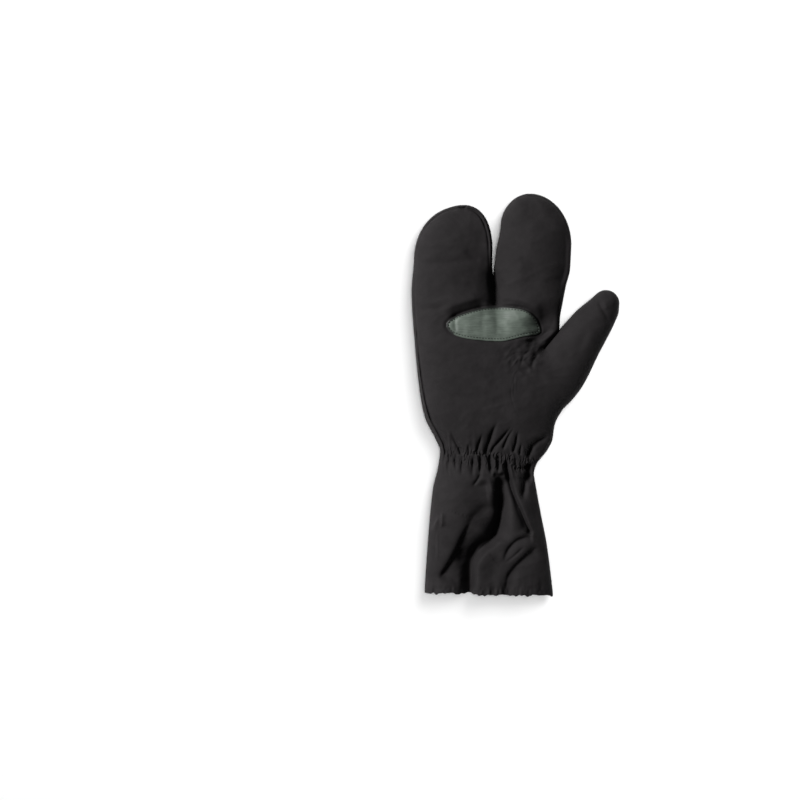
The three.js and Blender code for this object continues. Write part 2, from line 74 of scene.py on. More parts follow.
LITTLE_SIDE = table(
    "y x",
    (BEYOND_HEM, -82), (-176, -81), (-130, -78), (-84, -73.6), (-62, -68.5), (-50, -67.2),
    (-40, -71), (-20, -80.7), (2, -85.2), (44, -89.6), (92, -92.6), (119.2, -90.5),
)
OUTER_LOBE_INNER = table(
    "y x", (82.3, -17.8), (84.5, -17.8 - SLIT / 2), (107, -19.8), (112, -20.6), (129.6, -21),
)
INDEX_LOBE_INNER = table(
    "y x", (82.3, -17.8), (84.5, -17.8 + SLIT / 2), (107, -19.7), (112, -19.3), (129.6, -17.5),
    (138, -15.5), (149.2, -13.4),
)
INDEX_LOBE_OUTER = table(
    "y x",
    (42.1, 26.3), (50, 32.75), (58.2, 39.1), (68, 39.6), (81.4, 41.9), (97.5, 45), (112, 48.6), (134.1, 49.8),
)
THUMB_INNER = table(
    "y x", (42.1, 26.3), (50, 32.7), (58.2, 39.2), (65.3, 45.4), (76, 55.4), (85, 66.4), (90, 72.1),
)
THUMB_SIDE = table(
    "y x",
    (BEYOND_HEM, 37), (-176, 33.4), (-134, 28.1), (-106, 22.7), (-81, 18.2), (-70, 16.6), (-63, 18.3),
    (-49, 28.6), (-40, 33), (-27, 35), (-13, 42.2), (-6, 49.2), (8, 59.9), (36.8, 74.3), (65.3, 88.8),
    (74, 92), (81.5, 92.6),
)
LOFT = table(
    "y seam crown",
    (BEYOND_HEM, 9, 14), (-170, 9, 15), (-115, 10, 17), (-60, 9, 13), (-15, 10, 18), (45, 11, 19),
    (120, 11, 17), (185, 10, 16),
)
ROW_TILT = table(
    "y tilt", (BEYOND_HEM, 2.5), (-170, 3), (-70, 11.6), (-56, 11.6), (30, 0), (185, 0),
)
TIPS = {
    "outer": {"x": -46.8, "y": 168.6, "left": (43.7, 49.8, 2.14), "right": (25.8, 39.4, 2.28)},
    "index": {"x": 12.9, "y": 179.5, "left": (26.3, 30.5, 2.0), "right": (36.9, 45.6, 2.0)},
}
THUMB_SEAM = [(21.8, -29.4), (4, -20.5), (-4, -5), (-4.2, 9), (4.2, 27.2), (14, 34.4), (22.9, 36.9)]


def through(rows, column, by="y"):
    """A smooth curve through a table's rows that never swings past them."""
    at, value = rows[by], rows[column]
    slope = np.diff(value) / np.diff(at)
    lean = np.empty(len(at))
    lean[0], lean[-1] = slope[0], slope[-1]
    product = slope[:-1] * slope[1:]
    total = np.where(product > 0, slope[:-1] + slope[1:], 1)
    lean[1:-1] = np.where(product > 0, 2 * product / total, 0)

    def curve(y):
        y = np.asarray(y, float)
        i = np.clip(np.searchsorted(at, y) - 1, 0, len(at) - 2)
        span = at[i + 1] - at[i]
        t = np.clip((y - at[i]) / span, 0, 1)
        rise = t * t * (3 - 2 * t)
        swing = span * t * (1 - t) * (lean[i] * (1 - t) - lean[i + 1] * t)
        return value[i] * (1 - rise) + value[i + 1] * rise + swing

    return curve


def with_tip(rows, tip, side, sign):
    """An edge that follows a table up to a rounded tip and then a slightly squared quarter ellipse."""
    below = through(rows, "x")
    reach, rise, power = tip[side]

    def edge(y):
        t = np.clip((y - tip["y"] + rise) / rise, 0, 1)
        rounded = tip["x"] + sign * reach * (1 - t**power) ** (1 / power)
        return np.where(y <= tip["y"] - rise, below(y), rounded)

    return edge


little_side = with_tip(LITTLE_SIDE, TIPS["outer"], "left", -1)
outer_lobe_inner = with_tip(OUTER_LOBE_INNER, TIPS["outer"], "right", 1)
index_lobe_inner = with_tip(INDEX_LOBE_INNER, TIPS["index"], "left", -1)
index_lobe_outer = with_tip(INDEX_LOBE_OUTER, TIPS["index"], "right", 1)
THUMB_TOP = THUMB_TIP[1] + THUMB_TIP_RADIUS
thumb_inner_below = through(THUMB_INNER, "x")
thumb_side_below = through(THUMB_SIDE, "x")


def thumb_tip_half(y):
    return np.sqrt(np.maximum(THUMB_TIP_RADIUS**2 - (np.asarray(y) - THUMB_TIP[1]) ** 2, 0))


def thumb_inner(y):
    return np.where(y <= THUMB_TIP_FROM, thumb_inner_below(y), THUMB_TIP[0] - thumb_tip_half(y))


def thumb_side(y):
    return np.where(y <= THUMB_TIP[1], thumb_side_below(y), THUMB_TIP[0] + thumb_tip_half(y))


def curve_through(points, steps):
    """A Catmull-Rom curve through points, as an array of points close together."""
    p = np.array(points, float)
    p = np.vstack([p[0], p, p[-1]])
    t = np.linspace(0, 1, steps, endpoint=False)[:, None]
    parts = []
    for a, b, c, d in zip(p[:-3], p[1:-2], p[2:-1], p[3:]):
        u, v = (c - a) / 2, (d - b) / 2
        parts.append((2 * b - 2 * c + u + v) * t**3 + (3 * c - 3 * b - 2 * u - v) * t**2 + u * t + b)
    return np.vstack([*parts, p[-1:]])


def run_of(line):
    """The length along a polyline up to each of its points."""
    return np.concatenate([[0], np.cumsum(np.hypot(*np.diff(line, axis=0).T))])


def points_at(line, run, at):
    """The points of a polyline at some lengths along it."""
    return np.stack([np.interp(at, run, line[:, k]) for k in (0, 1)], -1)


seam_line = curve_through([(float(thumb_side(SEAM_LOW)), SEAM_LOW), *THUMB_SEAM, THUMB_CROTCH], 200)
seam_run = run_of(seam_line)


def thumb_seam_at(along):
    """A point on the thumb seam, from 0 at its low end to 1 at the thumb crotch."""
    return points_at(seam_line, seam_run, np.asarray(along) * seam_run[-1])


seam_height = through(LOFT, "seam")
crown_height = through(LOFT, "crown")
tilt_at = through(ROW_TILT, "tilt")

EDGE_STEPS = 90


def edge_line(edge, low, high):
    """An edge as a polyline, with its points closer together towards its high end."""
    y = low + (high - low) * np.sin(np.linspace(0, math.pi / 2, EDGE_STEPS))
    return np.stack([edge(y), y], -1)


EDGES = {
    "little_side": edge_line(little_side, BEYOND_HEM, TIPS["outer"]["y"]),
    "outer_lobe_inner": edge_line(outer_lobe_inner, FINGER_CROTCH[1], TIPS["outer"]["y"]),
    "index_lobe_inner": edge_line(index_lobe_inner, FINGER_CROTCH[1], TIPS["index"]["y"]),
    "index_lobe_outer": edge_line(index_lobe_outer, THUMB_CROTCH[1], TIPS["index"]["y"]),
    "thumb_inner": edge_line(thumb_inner, THUMB_CROTCH[1], THUMB_TOP),
    "thumb_side": edge_line(thumb_side, BEYOND_HEM, THUMB_TOP),
}


def along_line(x, y, line):
    """Distance from a polyline, positive on its left, and the fraction along it of the nearest point."""
    start, step = line[:-1], np.diff(line, axis=0)
    length = np.hypot(*step.T)
    before = run_of(line)
    nearest = np.full(x.shape, np.inf)
    side = np.ones(x.shape)
    at = np.zeros(x.shape)
    for (ax, ay), (dx, dy), size, run in zip(start, step, length, before):
        t = np.clip(((x - ax) * dx + (y - ay) * dy) / size**2, 0, 1)
        ox, oy = x - ax - t * dx, y - ay - t * dy
        away = np.hypot(ox, oy)
        closer = away < nearest
        nearest = np.where(closer, away, nearest)
        side = np.where(closer, np.where(dx * oy - dy * ox >= 0, 1.0, -1.0), side)
        at = np.where(closer, run + t * size, at)
    return nearest * side, at / before[-1]


def smooth(value):
    value = np.clip(value, 0, 1)
    return value * value * (3 - 2 * value)


def bell(share):
    """1 in the middle, 0.37 at a share of 1, and close to 0 from about 2."""
    return np.exp(-(share**2))


def unit(rows):
    """Each row scaled to a length of 1."""
    return rows / np.maximum(np.linalg.norm(rows, axis=1, keepdims=True), 1e-9)


def even(count):
    return np.linspace(0, 1, count + 1)


NOISE_CELLS = 64
NOISE_START = 1000


def noise(x, y, cell_x, cell_y, seed):
    """Smooth seeded noise from about -1 to 1 with cells of a given size."""
    values = np.random.default_rng(seed).uniform(-1, 1, (NOISE_CELLS, NOISE_CELLS))
    u, v = x / cell_x + NOISE_START, y / cell_y + NOISE_START
    i, j = np.floor(u).astype(int), np.floor(v).astype(int)
    fu, fv = u - i, v - j
    fu, fv = fu**3 * (fu * (fu * 6 - 15) + 10), fv**3 * (fv * (fv * 6 - 15) + 10)

    def corner(a, b):
        return values[(i + a) % NOISE_CELLS, (j + b) % NOISE_CELLS]

    low = corner(0, 0) * (1 - fu) + corner(1, 0) * fu
    high = corner(0, 1) * (1 - fu) + corner(1, 1) * fu
    return low * (1 - fv) + high * fv


def turned(x, y, degrees):
    """Points as seen from axes that are turned anticlockwise."""
    angle = math.radians(degrees)
    return x * math.cos(angle) + y * math.sin(angle), y * math.cos(angle) - x * math.sin(angle)


# Folds and creases of the upper cloth. Each follows a line of points, with its height in the middle
# and how far it reaches to the left and right of the line, all in millimetres. A small crease value
# gives a sharp line and 1 a soft round one. Fade is the share of the line that each end fades over, or
# a share for the start and one for the end.
def fold(points, height, left, right, crease=0.6, fade=0.3):
    return {"line": curve_through(points, 8), "height": height, "left": left, "right": right,
            "crease": crease, "fade": np.broadcast_to(fade, 2)}


CUFF_FOLDS = [
    # Main valley down the middle, then away to the lower left
    fold([(-14, -68), (-13.4, -78), (-13, -90), (-13.2, -101), (-14.2, -112), (-15.8, -122), (-18.2, -130)],
         -11.8, 7.5, 4.6, 0.8, (0.2, 0.15)),
    fold([(-15.6, -112), (-17, -124), (-21, -130.6), (-28, -134.8), (-34.5, -140.5), (-39, -149),
          (-39.6, -158), (-39.4, -186)], -8.5, 2.4, 7, 0.8, (0.2, 0.02)),
    fold([(-15, -104), (-17, -118), (-22, -129), (-29, -135.5), (-35, -143), (-39.2, -152), (-39.6, -186)],
         -8.5, 2.6, 12, 1, (0.25, 0.05)),
    # The cloth stands up along the valley's right side and slopes away from it
    fold([(-16, -129), (-23.5, -130.8), (-30.5, -134.5), (-35.2, -142), (-36.6, -152), (-36.6, -186)],
         2.6, 15, 1.6, 0.6, (0.3, 0.05)),
    # The cloth left of the main valley slopes down to it
    fold([(-13.5, -84), (-13, -95), (-13.8, -107), (-16, -118), (-22, -129)], -7.8, 4.6, 26, 1, (0.4, 0.3)),
    # Long diagonal step towards the hem's corner, with the low tongue of cloth in its shade
    fold([(-37.5, -108), (-42, -117), (-46.2, -126), (-50.4, -136), (-55.2, -145.5), (-61.2, -155),
          (-68.4, -165.5)], -5.6, 22, 3, 0.7, (0.35, 0.15)),
    fold([(-20, -95), (-30, -102), (-38, -110), (-44, -123)], -3, 15, 5, 1, (0.35, 0.4)),
    fold([(-50, -134), (-49, -143), (-47, -152)], -2.4, 6, 4, 1, 0.4),
    # Long sharp fold on the right, with a wide slope to its left
    fold([(-9, -56), (-5.6, -75), (-2.2, -87.5), (3.4, -100.4), (9, -113.4), (14.2, -124.5)],
         -7.5, 1.0, 3.2, 0.3, (0.1, 0.06)),
    fold([(-3, -88), (1, -102), (6, -114), (9, -122)], -2.6, 2, 7, 0.8, (0.4, 0.15)),
    # Two curved creases that run in from the right, and a thin one between them
    fold([(15, -125), (7, -126.8), (0, -129.6), (-6, -135.5), (-9.4, -142), (-11.5, -150)],
         -2.5, 3.8, 2.0, 0.6, (0.08, 0.35)),
    fold([(8, -133.5), (1.5, -139.5), (-5, -145), (-11, -149.5)], -1.0, 1.1, 1.1, 0.5),
    fold([(20.5, -134), (11.5, -141), (3.4, -148.5), (-3.2, -155.5), (-7.6, -164), (-9.5, -186)],
         -3.2, 8, 2.6, 0.6, (0.15, 0.02)),
    # Shallow dip left of the main valley, and one on the right
    fold([(-28, -74), (-26.8, -86), (-26, -98)], -3.4, 3, 12, 1, (0.3, 0.5)),
    fold([(-25.4, -71), (-22.5, -80), (-21, -92)], 1.0, 2.4, 3.4, 0.9, (0.3, 0.4)),
    fold([(23, -78), (25, -98), (28, -122)], -2.2, 6, 10, 1),
    fold([(10.4, -68), (7.6, -80), (6.2, -96)], -5.4, 3.2, 3.2, 0.9, (0.15, 0.4)),
    fold([(14, -94), (18, -112), (20, -126)], -0.8, 4, 4, 1),
    fold([(-14, -142), (-20, -156), (-22, -170)], -1.4, 8, 8, 1),
    # Deep tuck in the right edge just below the wrist band
    fold([(9.5, -60), (12, -67), (13.6, -73), (14, -80)], -7.5, 3.2, 4.2, 0.9, (0.2, 0.35)),
    # Pocket under the band above the main valley
    fold([(-21, -70.5), (-14, -71.3), (-9.5, -70.5)], -1.8, 2.0, 2.2, 1, 0.25),
    # Short valleys that hang from the wrist band
    fold([(-65, -49), (-65, -58), (-64.5, -66)], -1.0, 1.3, 1.3, 0.8, 0.5),
    fold([(-59.7, -50), (-59.6, -60), (-59.6, -69)], -1.9, 1.4, 1.4, 0.7, 0.5),
    fold([(-53.7, -50), (-53.7, -60), (-53.6, -69)], -1.8, 1.4, 1.4, 0.7, 0.5),
    fold([(-47.8, -52), (-48, -62), (-48.6, -73)], -2.1, 1.4, 1.4, 0.7, 0.5),
    fold([(-38, -51), (-38, -62), (-38.8, -73)], -2.8, 1.5, 1.6, 0.7, (0.45, 0.5)),
    fold([(-31.5, -50), (-31.4, -61), (-31.8, -72)], -3.4, 1.5, 1.6, 0.6, (0.4, 0.3)),
    fold([(-30.8, -69.5), (-34.5, -76), (-39.5, -82)], -2.4, 1.0, 2.0, 0.4, (0.2, 0.5)),
    fold([(-23.5, -47), (-23, -59), (-22, -72)], -4.2, 1.6, 1.8, 0.6, (0.35, 0.3)),
    fold([(-16, -50), (-15.8, -60), (-15.8, -71)], -3.4, 1.6, 1.7, 0.7, (0.35, 0.3)),
    fold([(-1.5, -53), (0, -63), (1.5, -73)], -2.2, 1.5, 1.5, 0.7, (0.45, 0.5)),
    fold([(4, -56), (4.5, -65), (4.8, -73)], -2.0, 1.4, 1.4, 0.7, (0.45, 0.5)),
    # Thin ridges by the side seam
    fold([(-68.5, -107), (-71.5, -113), (-76.5, -123)], 2.6, 3, 0.8, 0.5),
    fold([(-66, -103), (-66.4, -118)], 2.2, 3, 0.8, 0.5),
    fold([(-70, -118), (-69.5, -135), (-70, -150)], 0.5, 0.6, 0.7, 0.5),
    fold([(-72.5, -120), (-72, -136), (-73, -150)], -0.4, 0.6, 0.7, 0.5),
]
HAND_FOLDS = [
    # Creases drawn up from the wrist band
    fold([(-58.6, -31), (-54.5, -40), (-50, -48.5), (-48.5, -54)], -3.1, 1.6, 1.8, 0.5, (0.5, 0.1)),
    fold([(-42.5, -43), (-42.3, -48), (-42.3, -54)], -2.2, 1.1, 1.1, 0.5, (0.4, 0.1)),
    fold([(-29.6, -33), (-32, -41), (-34.2, -48), (-35.4, -54)], -2.8, 1.4, 1.5, 0.4, (0.45, 0.1)),
    fold([(-16, -22), (-20.5, -32), (-22.8, -38.5), (-25.6, -47.5), (-27, -54)],
         -3.7, 1.8, 2.0, 0.45, (0.5, 0.1)),
    fold([(-4, -27), (-9, -34), (-13.7, -39.8), (-20.2, -47.4), (-22.5, -53)],
         -3.1, 1.3, 1.5, 0.4, (0.45, 0.1)),
    fold([(-2, -29), (-6.5, -36), (-9.5, -42.5), (-12, -49)], -2.5, 1.3, 1.5, 0.4, (0.45, 0.15)),
    fold([(1.8, -31), (0.4, -39), (-0.8, -45.5), (-3.5, -52)], -2.6, 1.3, 1.4, 0.4, (0.45, 0.15)),
    fold([(4.5, -42), (4, -48), (3, -54)], -2.0, 1.0, 1.1, 0.5, (0.45, 0.15)),
    fold([(31, -34), (24, -39), (17.5, -42.5), (12.5, -50), (10.5, -57)], -3.0, 3.4, 2.4, 0.7, (0.35, 0.1)),
    fold([(14.2, -42), (13, -48), (12, -54)], -2.0, 1.0, 1.2, 0.5, (0.35, 0.15)),
    fold([(-64, -36), (-62, -45), (-61, -53)], -1.1, 1.2, 1.4, 0.6, (0.5, 0.1)),
    # The pull that runs on from the finger crotch across the patch
    fold([(-17.4, 86), (-17, 74), (-16.6, 60), (-16.8, 44)], -2.0, 11, 4.4, 0.9, (0.1, 0.35)),
    fold([(-28, 78), (-30, 64), (-30, 50)], -0.6, 4, 3, 1),
    fold([(-52.6, 74), (-54.6, 64), (-53, 53)], -0.9, 1.8, 2.4, 0.8),
    # The patch's end slopes away to the right into a hollow that runs to the thumb crotch
    fold([(17, 80), (20.5, 73), (23, 65), (25, 56), (28.5, 49)], -9, 11, 15, 0.9, (0.6, 0.2)),
    fold([(7, 47), (15, 47.5), (23, 47), (30, 48)], -2.6, 2.2, 2.6, 0.7, (0.35, 0.25)),
    # Bulges of loose cloth above the patch
    fold([(-70, 72), (-54, 80), (-38, 85), (-25, 88)], 2.2, 7, 4, 0.9),
    fold([(-61, 66), (-51, 71.4), (-37, 76.4), (-25, 78.6)], -3.0, 4.2, 1.4, 0.7, (0.25, 0.2)),
    fold([(-11, 86), (6, 83), (17, 77), (25, 67)], 1.6, 5, 2.6, 0.8),
    fold([(-11, 79), (5, 77.2), (12.6, 73.6), (19.5, 67)], -1.6, 2.2, 1.0, 0.6, 0.25),
    # Soft wrinkles across the outer lobe
    fold([(-90, 82), (-75.5, 81), (-60, 85.5), (-46, 87)], 0.8, 3.4, 4, 1),
    fold([(-90, 76), (-76, 75.5), (-62, 79.5)], -0.6, 3, 3, 1),
    fold([(-92, 119), (-72, 116), (-50, 118.5), (-30, 119)], -0.7, 3.5, 3.5, 1),
    fold([(-90, 128), (-66, 129), (-44, 125)], -0.5, 3, 4, 1),
    fold([(-46, 130), (-38, 122), (-30, 119)], -0.8, 3, 3, 1),
    # A long soft hollow down the index lobe and shallow ones across it
    fold([(52, 160), (51, 130), (48, 104), (43, 78)], -4.6, 8, 17, 1, (0.4, 0.3)),
    fold([(6, 162), (20, 156), (38, 147)], -0.6, 4, 4, 1),
    # Wedge and puckers at the thumb crotch
    fold([(38.5, 58.5), (32, 50.5), (27, 43), (20, 35)], -3.2, 2.0, 2.4, 0.5, (0.15, 0.4)),
    fold([(30, 44), (20, 45), (9, 41)], -1.3, 1.6, 2.0, 0.6),
    fold([(21, 38), (15, 29), (14, 20)], -1.4, 1.3, 1.5, 0.5),
    fold([(13, 40), (6, 34), (4, 25)], -1.1, 1.5, 1.5, 0.5),
    fold([(2, 39), (-4, 34), (-5, 28)], -0.7, 2, 2, 0.6),
    # Two faint vertical lines in the palm
    fold([(-2.2, 19), (-2.4, -2)], -0.25, 0.7, 0.7, 0.5),
    fold([(0.6, 15), (0.3, 1)], -0.2, 0.6, 0.6, 0.5),
    # Crease across the thumb's tip and soft hollows down the thumb
    fold([(72, 86), (76, 76), (83.5, 63)], -1.3, 2.6, 1.8, 0.8),
    fold([(77, 84), (81, 75)], 0.6, 1.5, 1.5, 0.8),
    fold([(64, 62), (58, 46), (50, 30)], -0.8, 5, 5, 1),
]


def fold_height(x, y, folds):
    total = np.zeros(x.shape)
    for f in folds:
        line = f["line"]
        reach = 5 * max(f["left"], f["right"])
        low, high = line.min(axis=0) - reach, line.max(axis=0) + reach
        near = (x > low[0]) & (x < high[0]) & (y > low[1]) & (y < high[1])
        if not near.any():
            continue
        aside, along = along_line(x[near], y[near], line)
        share = np.abs(aside) / np.where(aside > 0, f["left"], f["right"])
        soft = f["crease"]
        profile = np.exp(-(np.sqrt(share**2 + soft**2) - soft) / (math.sqrt(1 + soft**2) - soft))
        ends = smooth(along / f["fade"][0]) * smooth((1 - along) / f["fade"][1])
        total[near] += f["height"] * profile * ends
    return total


def across_wrist(x, y):
    """The fraction across the wrist band and the height above its middle."""
    middle = (WRIST_TOP + WRIST_LOW) / 2
    left, right = little_side(middle + tilt_at(middle)), thumb_side(middle)
    across = (x - left) / (right - left)
    return across, y - middle - tilt_at(middle) * (1 - across)


# Crimps of the wrist band: how many, how high, and how far above and below its middle they reach
CRIMPS = 30
FINE_CRIMPS = 57
CRIMP_HEIGHT = 0.75
FINE_CRIMP_HEIGHT = 0.55
BAND_HALF = 7.4
FINE_HALF = 5.6
# Shallow folds that fan out from the band
FAN_FOLDS = 12
FAN_HEIGHT = 0.45
FAN_REACH = 14


def crimped(waves, roundness=1):
    """Broad valleys at -0.7 between sharp crests at 1, one of each for every wave."""
    return 1 - 1.7 * np.abs(np.cos(math.pi * waves)) ** roundness


def gathers(x, y):
    """Crimps of the elastic wrist band, drawn close and uneven, and folds that fan out from it."""
    across, above = across_wrist(x, y)
    at = across * 100
    wander = 0.02 * noise(at, above, 6, 4.2, 11) + 0.012 * noise(at, above, 2.8, 2.6, 12)
    uneven = np.clip(0.7 + 0.5 * noise(at, above, 9, 4, 13), 0.25, 1.1)
    strength = uneven * (0.6 + 0.4 * smooth((across - 0.08) / 0.25))
    band = np.exp(-((above / BAND_HALF) ** 6))
    middle = np.exp(-(((above - 1) / FINE_HALF) ** 4))
    here_and_there = smooth(0.7 + noise(at, above, 8, 5, 16))
    height = CRIMP_HEIGHT * crimped(CRIMPS * (across + wander), 0.9) * band
    height += FINE_CRIMP_HEIGHT * crimped(FINE_CRIMPS * (across + 0.8 * wander)) * middle * here_and_there
    fan = np.cos(2 * math.pi * (FAN_FOLDS * across + 0.05 * above + 0.8 * noise(at, above, 14, 30, 15)))
    fan_height = FAN_HEIGHT * bell(above / FAN_REACH) * (1 - 0.6 * band)
    return height * strength + fan_height * fan


# Layers of crumple. The soft ones are bumps, each with a height, the width and length of its cells and a
# seed. The creased ones are ridges, with the degrees that they are turned by after the height.
SOFT_LAYERS = [(0.55, 34, 26, 23), (0.35, 17, 13, 24), (0.14, 6, 5, 27), (0.05, 2.6, 2.2, 28)]
CREASED_LAYERS = [(0.3, 18, 22, 9, 25), (0.22, -52, 26, 10, 26)]
DRIFT = 5
DRIFT_CELL = 30


def crumple(x, y):
    """The slight unevenness of light shell cloth that has been folded away."""
    sx = x + DRIFT * noise(x, y, DRIFT_CELL, DRIFT_CELL, 21)
    sy = y + DRIFT * noise(x, y, DRIFT_CELL, DRIFT_CELL, 22)
    total = np.zeros(x.shape)
    for height, wide, long, seed in SOFT_LAYERS:
        total += height * noise(sx, sy, wide, long, seed)
    for height, degrees, wide, long, seed in CREASED_LAYERS:
        ax, ay = turned(sx, sy, degrees)
        total += height * (0.5 - np.abs(noise(ax, ay, wide, long, seed)))
    return total


PUCKERS = {"x": 7, "y": 33, "reach": 16, "turn": 55, "ridge": 1.5, "lump": 1.0}


def puckers(x, y):
    """Small lumps and ridges of cloth caught in the seam by the thumb crotch."""
    near = np.exp(-(((x - PUCKERS["x"]) ** 2 + (y - PUCKERS["y"]) ** 2) / PUCKERS["reach"] ** 2))
    ax, ay = turned(x, y, PUCKERS["turn"])
    ridges = PUCKERS["ridge"] * (0.4 - np.abs(noise(ax, ay, 7.5, 5, 31)))
    return near * (ridges + PUCKERS["lump"] * noise(x, y, 4.2, 3.6, 32))


# Broad flutes fade out upwards from the hem over this length, and close crimps stay on the hem
FLUTE_LENGTH = 15
HEM_CRIMP_LENGTH = 7
HEM_CRIMP_HEIGHT = 0.6


def hem_crimp(x, y):
    across, _ = across_wrist(x, y)
    wide = smooth((HEM_TOP + FLUTE_LENGTH - y) / FLUTE_LENGTH)
    close = smooth((HEM_TOP + 1 - y) / HEM_CRIMP_LENGTH)
    flutes = wide * noise(across * 100, y * 0.4, 5, 9, 41)
    return HEM_CRIMP_HEIGHT * (flutes + close * noise(x, y, 2.2, 5, 42))


def hem_drop(across):
    """How far the hem's low edge waves down and up."""
    return 0.7 * noise(across * 100, across * 0, 5, 5, 41) + 0.8 * noise(across * 100, across * 0, 2.2, 5, 43)


# Near an edge the cloth lies flat for a width, and a seam runs in a groove a little way inside the edge
SEAM_EDGES = {
    "little_side": table(
        "y wide inside groove",
        (-62, 0.3, 4, 0), (-44, 0.6, 4.6, 2.2), (-20, 0.6, 4.3, 2.6), (0, 0.6, 3.6, 2.6), (40, 0.4, 2.7, 1.6),
        (90, 0.4, 2.4, 0.7), (112, 0.3, 2.4, 0.3), (132, 0.3, 2.2, 0.5), (150, 0.4, 2.4, 1.2),
        (172, 0.4, 2.8, 1.7),
    ),
    "outer_lobe_inner": table(
        "y wide inside groove",
        (82, 0.5, 3, 0), (107, 0.5, 3, 0), (113, 0.4, 3, 0.4), (128, 0.4, 3.4, 1.1), (150, 0.4, 3.8, 1.7),
        (172, 0.4, 3, 1.8),
    ),
    "index_lobe_inner": table(
        "y wide inside groove", (82, 2.4, 2, 0), (106, 2.5, 2, 0), (113, 0.5, 2, 0), (182, 0.3, 2.4, 0.3),
    ),
    "index_lobe_outer": table(
        "y wide inside groove", (40, 0, 2, 0), (130, 0, 2.4, 0), (155, 0.2, 2.6, 0.8), (182, 0.2, 2.6, 1),
    ),
}
GROOVE_WIDTH = 0.8
# The cloth stands up in a low lip just outside each groove
LIP = {"share": 0.4, "past": 1.5, "width": 0.9}
THUMB_SEAM_GROOVE = 0.1
# The outer lobe's right edge is raised towards its tip, and both lobes dip where the slit closes
RAISED = {"by": 8, "reach": 9, "from": 108, "over": 24}
SLIT_DIP = {"by": 5, "reach": 5, "y": 98, "over": 10}

PATCH_EDGES = table(
    "x far near",
    (-62, 63.6, 59.6), (-59.3, 66.4, 55.9), (-52.6, 70.3, 52), (-43.5, 73.6, 49.6), (-32.8, 76.6, 48.3),
    (-22, 78.3, 47.6), (-14, 78.4, 47.5), (-5, 78, 49), (5, 76.4, 51.6), (12, 73.1, 52.8), (18, 67.6, 53.7),
    (21.9, 59.8, 55.8),
)
patch_far = through(PATCH_EDGES, "far", "x")
patch_near = through(PATCH_EDGES, "near", "x")
PATCH_FROM, PATCH_TO = PATCH_EDGES["x"][0], PATCH_EDGES["x"][-1]
PATCH_EDGE_STEPS = 160
PATCH_RING = 240


def patch_border(count):
    """Points round the patch, anticlockwise, evenly spaced along its edges."""
    f = even(PATCH_EDGE_STEPS)
    x = PATCH_FROM + (PATCH_TO - PATCH_FROM) * (1 - np.cos(f * math.pi)) / 2
    ring = np.vstack([np.stack([x, patch_near(x)], -1), np.stack([x, patch_far(x)], -1)[::-1]])
    ring = np.vstack([ring, ring[:1]])
    run = run_of(ring)
    return points_at(ring, run, np.linspace(0, run[-1], count, endpoint=False))


def in_patch(x, y):
    """How far inside the patch's edge a point is, negative outside."""
    ring = patch_border(PATCH_RING)
    aside, _ = along_line(x, y, np.vstack([ring, ring[:1]]))
    within = (x > PATCH_FROM) & (x < PATCH_TO) & (y > patch_near(x)) & (y < patch_far(x))
    return np.where(within, np.abs(aside), -np.abs(aside))


# How the palm is drawn down under the patch, and a little more in a groove along its edge
PATCH_AREA = {"x": -19.5, "y": 63, "half_x": 52, "half_y": 26}
PRESS = {"by": 0.9, "outside": 2.6, "over": 3.2, "groove": 0.5, "groove_at": 0.9}


def patch_press(x, y):
    total = np.zeros(x.shape)
    near = np.abs(x - PATCH_AREA["x"]) < PATCH_AREA["half_x"]
    near &= np.abs(y - PATCH_AREA["y"]) < PATCH_AREA["half_y"]
    if near.any():
        inside = in_patch(x[near], y[near])
        under = smooth((inside + PRESS["outside"]) / PRESS["over"])
        total[near] = -PRESS["by"] * under - PRESS["groove"] * bell(inside / PRESS["groove_at"] + 1)
    return total


# The upper cloth comes to rest at this height where a valley would take it lower
LOWEST = 4.0
LOWEST_SOFT = 1.2
# Loose cloth calms down towards an edge over this width
CALM_UPPER = 6
CALM_LOWER = 9
# The lower cloth's own crimps, slack and the rise where the main valley presses down on it
LOWER_CRIMP = 0.9
LOWER_CRIMP_REACH = 26
LOWER_VALLEY = 1.4
VALLEY_DEPTH = 11


